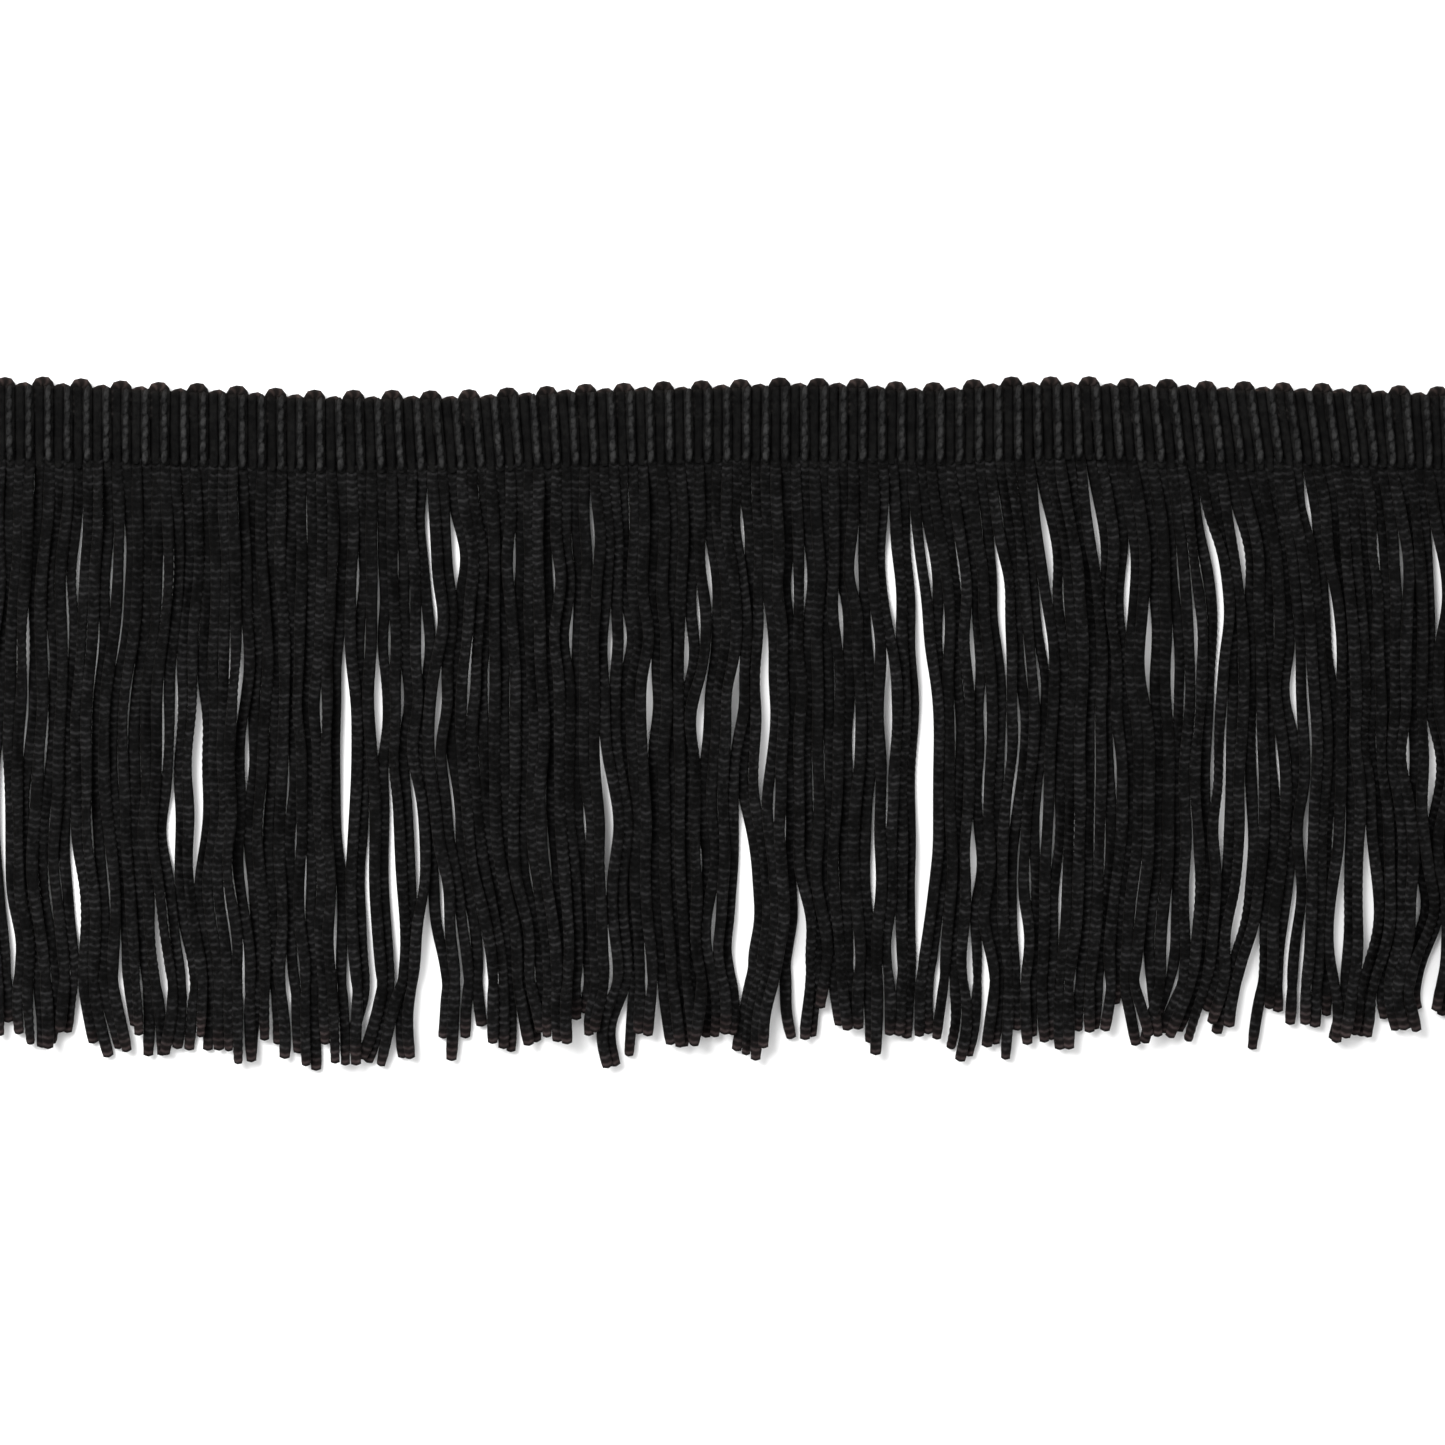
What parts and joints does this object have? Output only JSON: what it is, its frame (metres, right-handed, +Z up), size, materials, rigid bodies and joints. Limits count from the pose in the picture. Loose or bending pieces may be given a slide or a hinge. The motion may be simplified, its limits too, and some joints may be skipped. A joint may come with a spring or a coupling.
{
  "type": "fringe trim",
  "caption": "Length of black chainette fringe: a ribbed knitted heading band to sew or glue on, with fine cut strands hanging from its lower edge, laid flat.",
  "frame": {"origin": "middle of the trim's outline, on the surface that it lies on", "axes": "+X along the trim, +Y from the cut tips towards the heading band, +Z up from the surface to the trim's face"},
  "size_m": [0.2309, 0.1016, 0.0026],
  "materials": {
    "heading_yarn": "black rayon, knitted into ribs, soft sheen",
    "strand_yarn": "black rayon chainette, cut ends slightly brown"
  },
  "bodies": {
    "root": {"heading": "heading_yarn", "fringe_lower": "strand_yarn", "fringe_upper": "strand_yarn"}
  },
  "joints": []
}
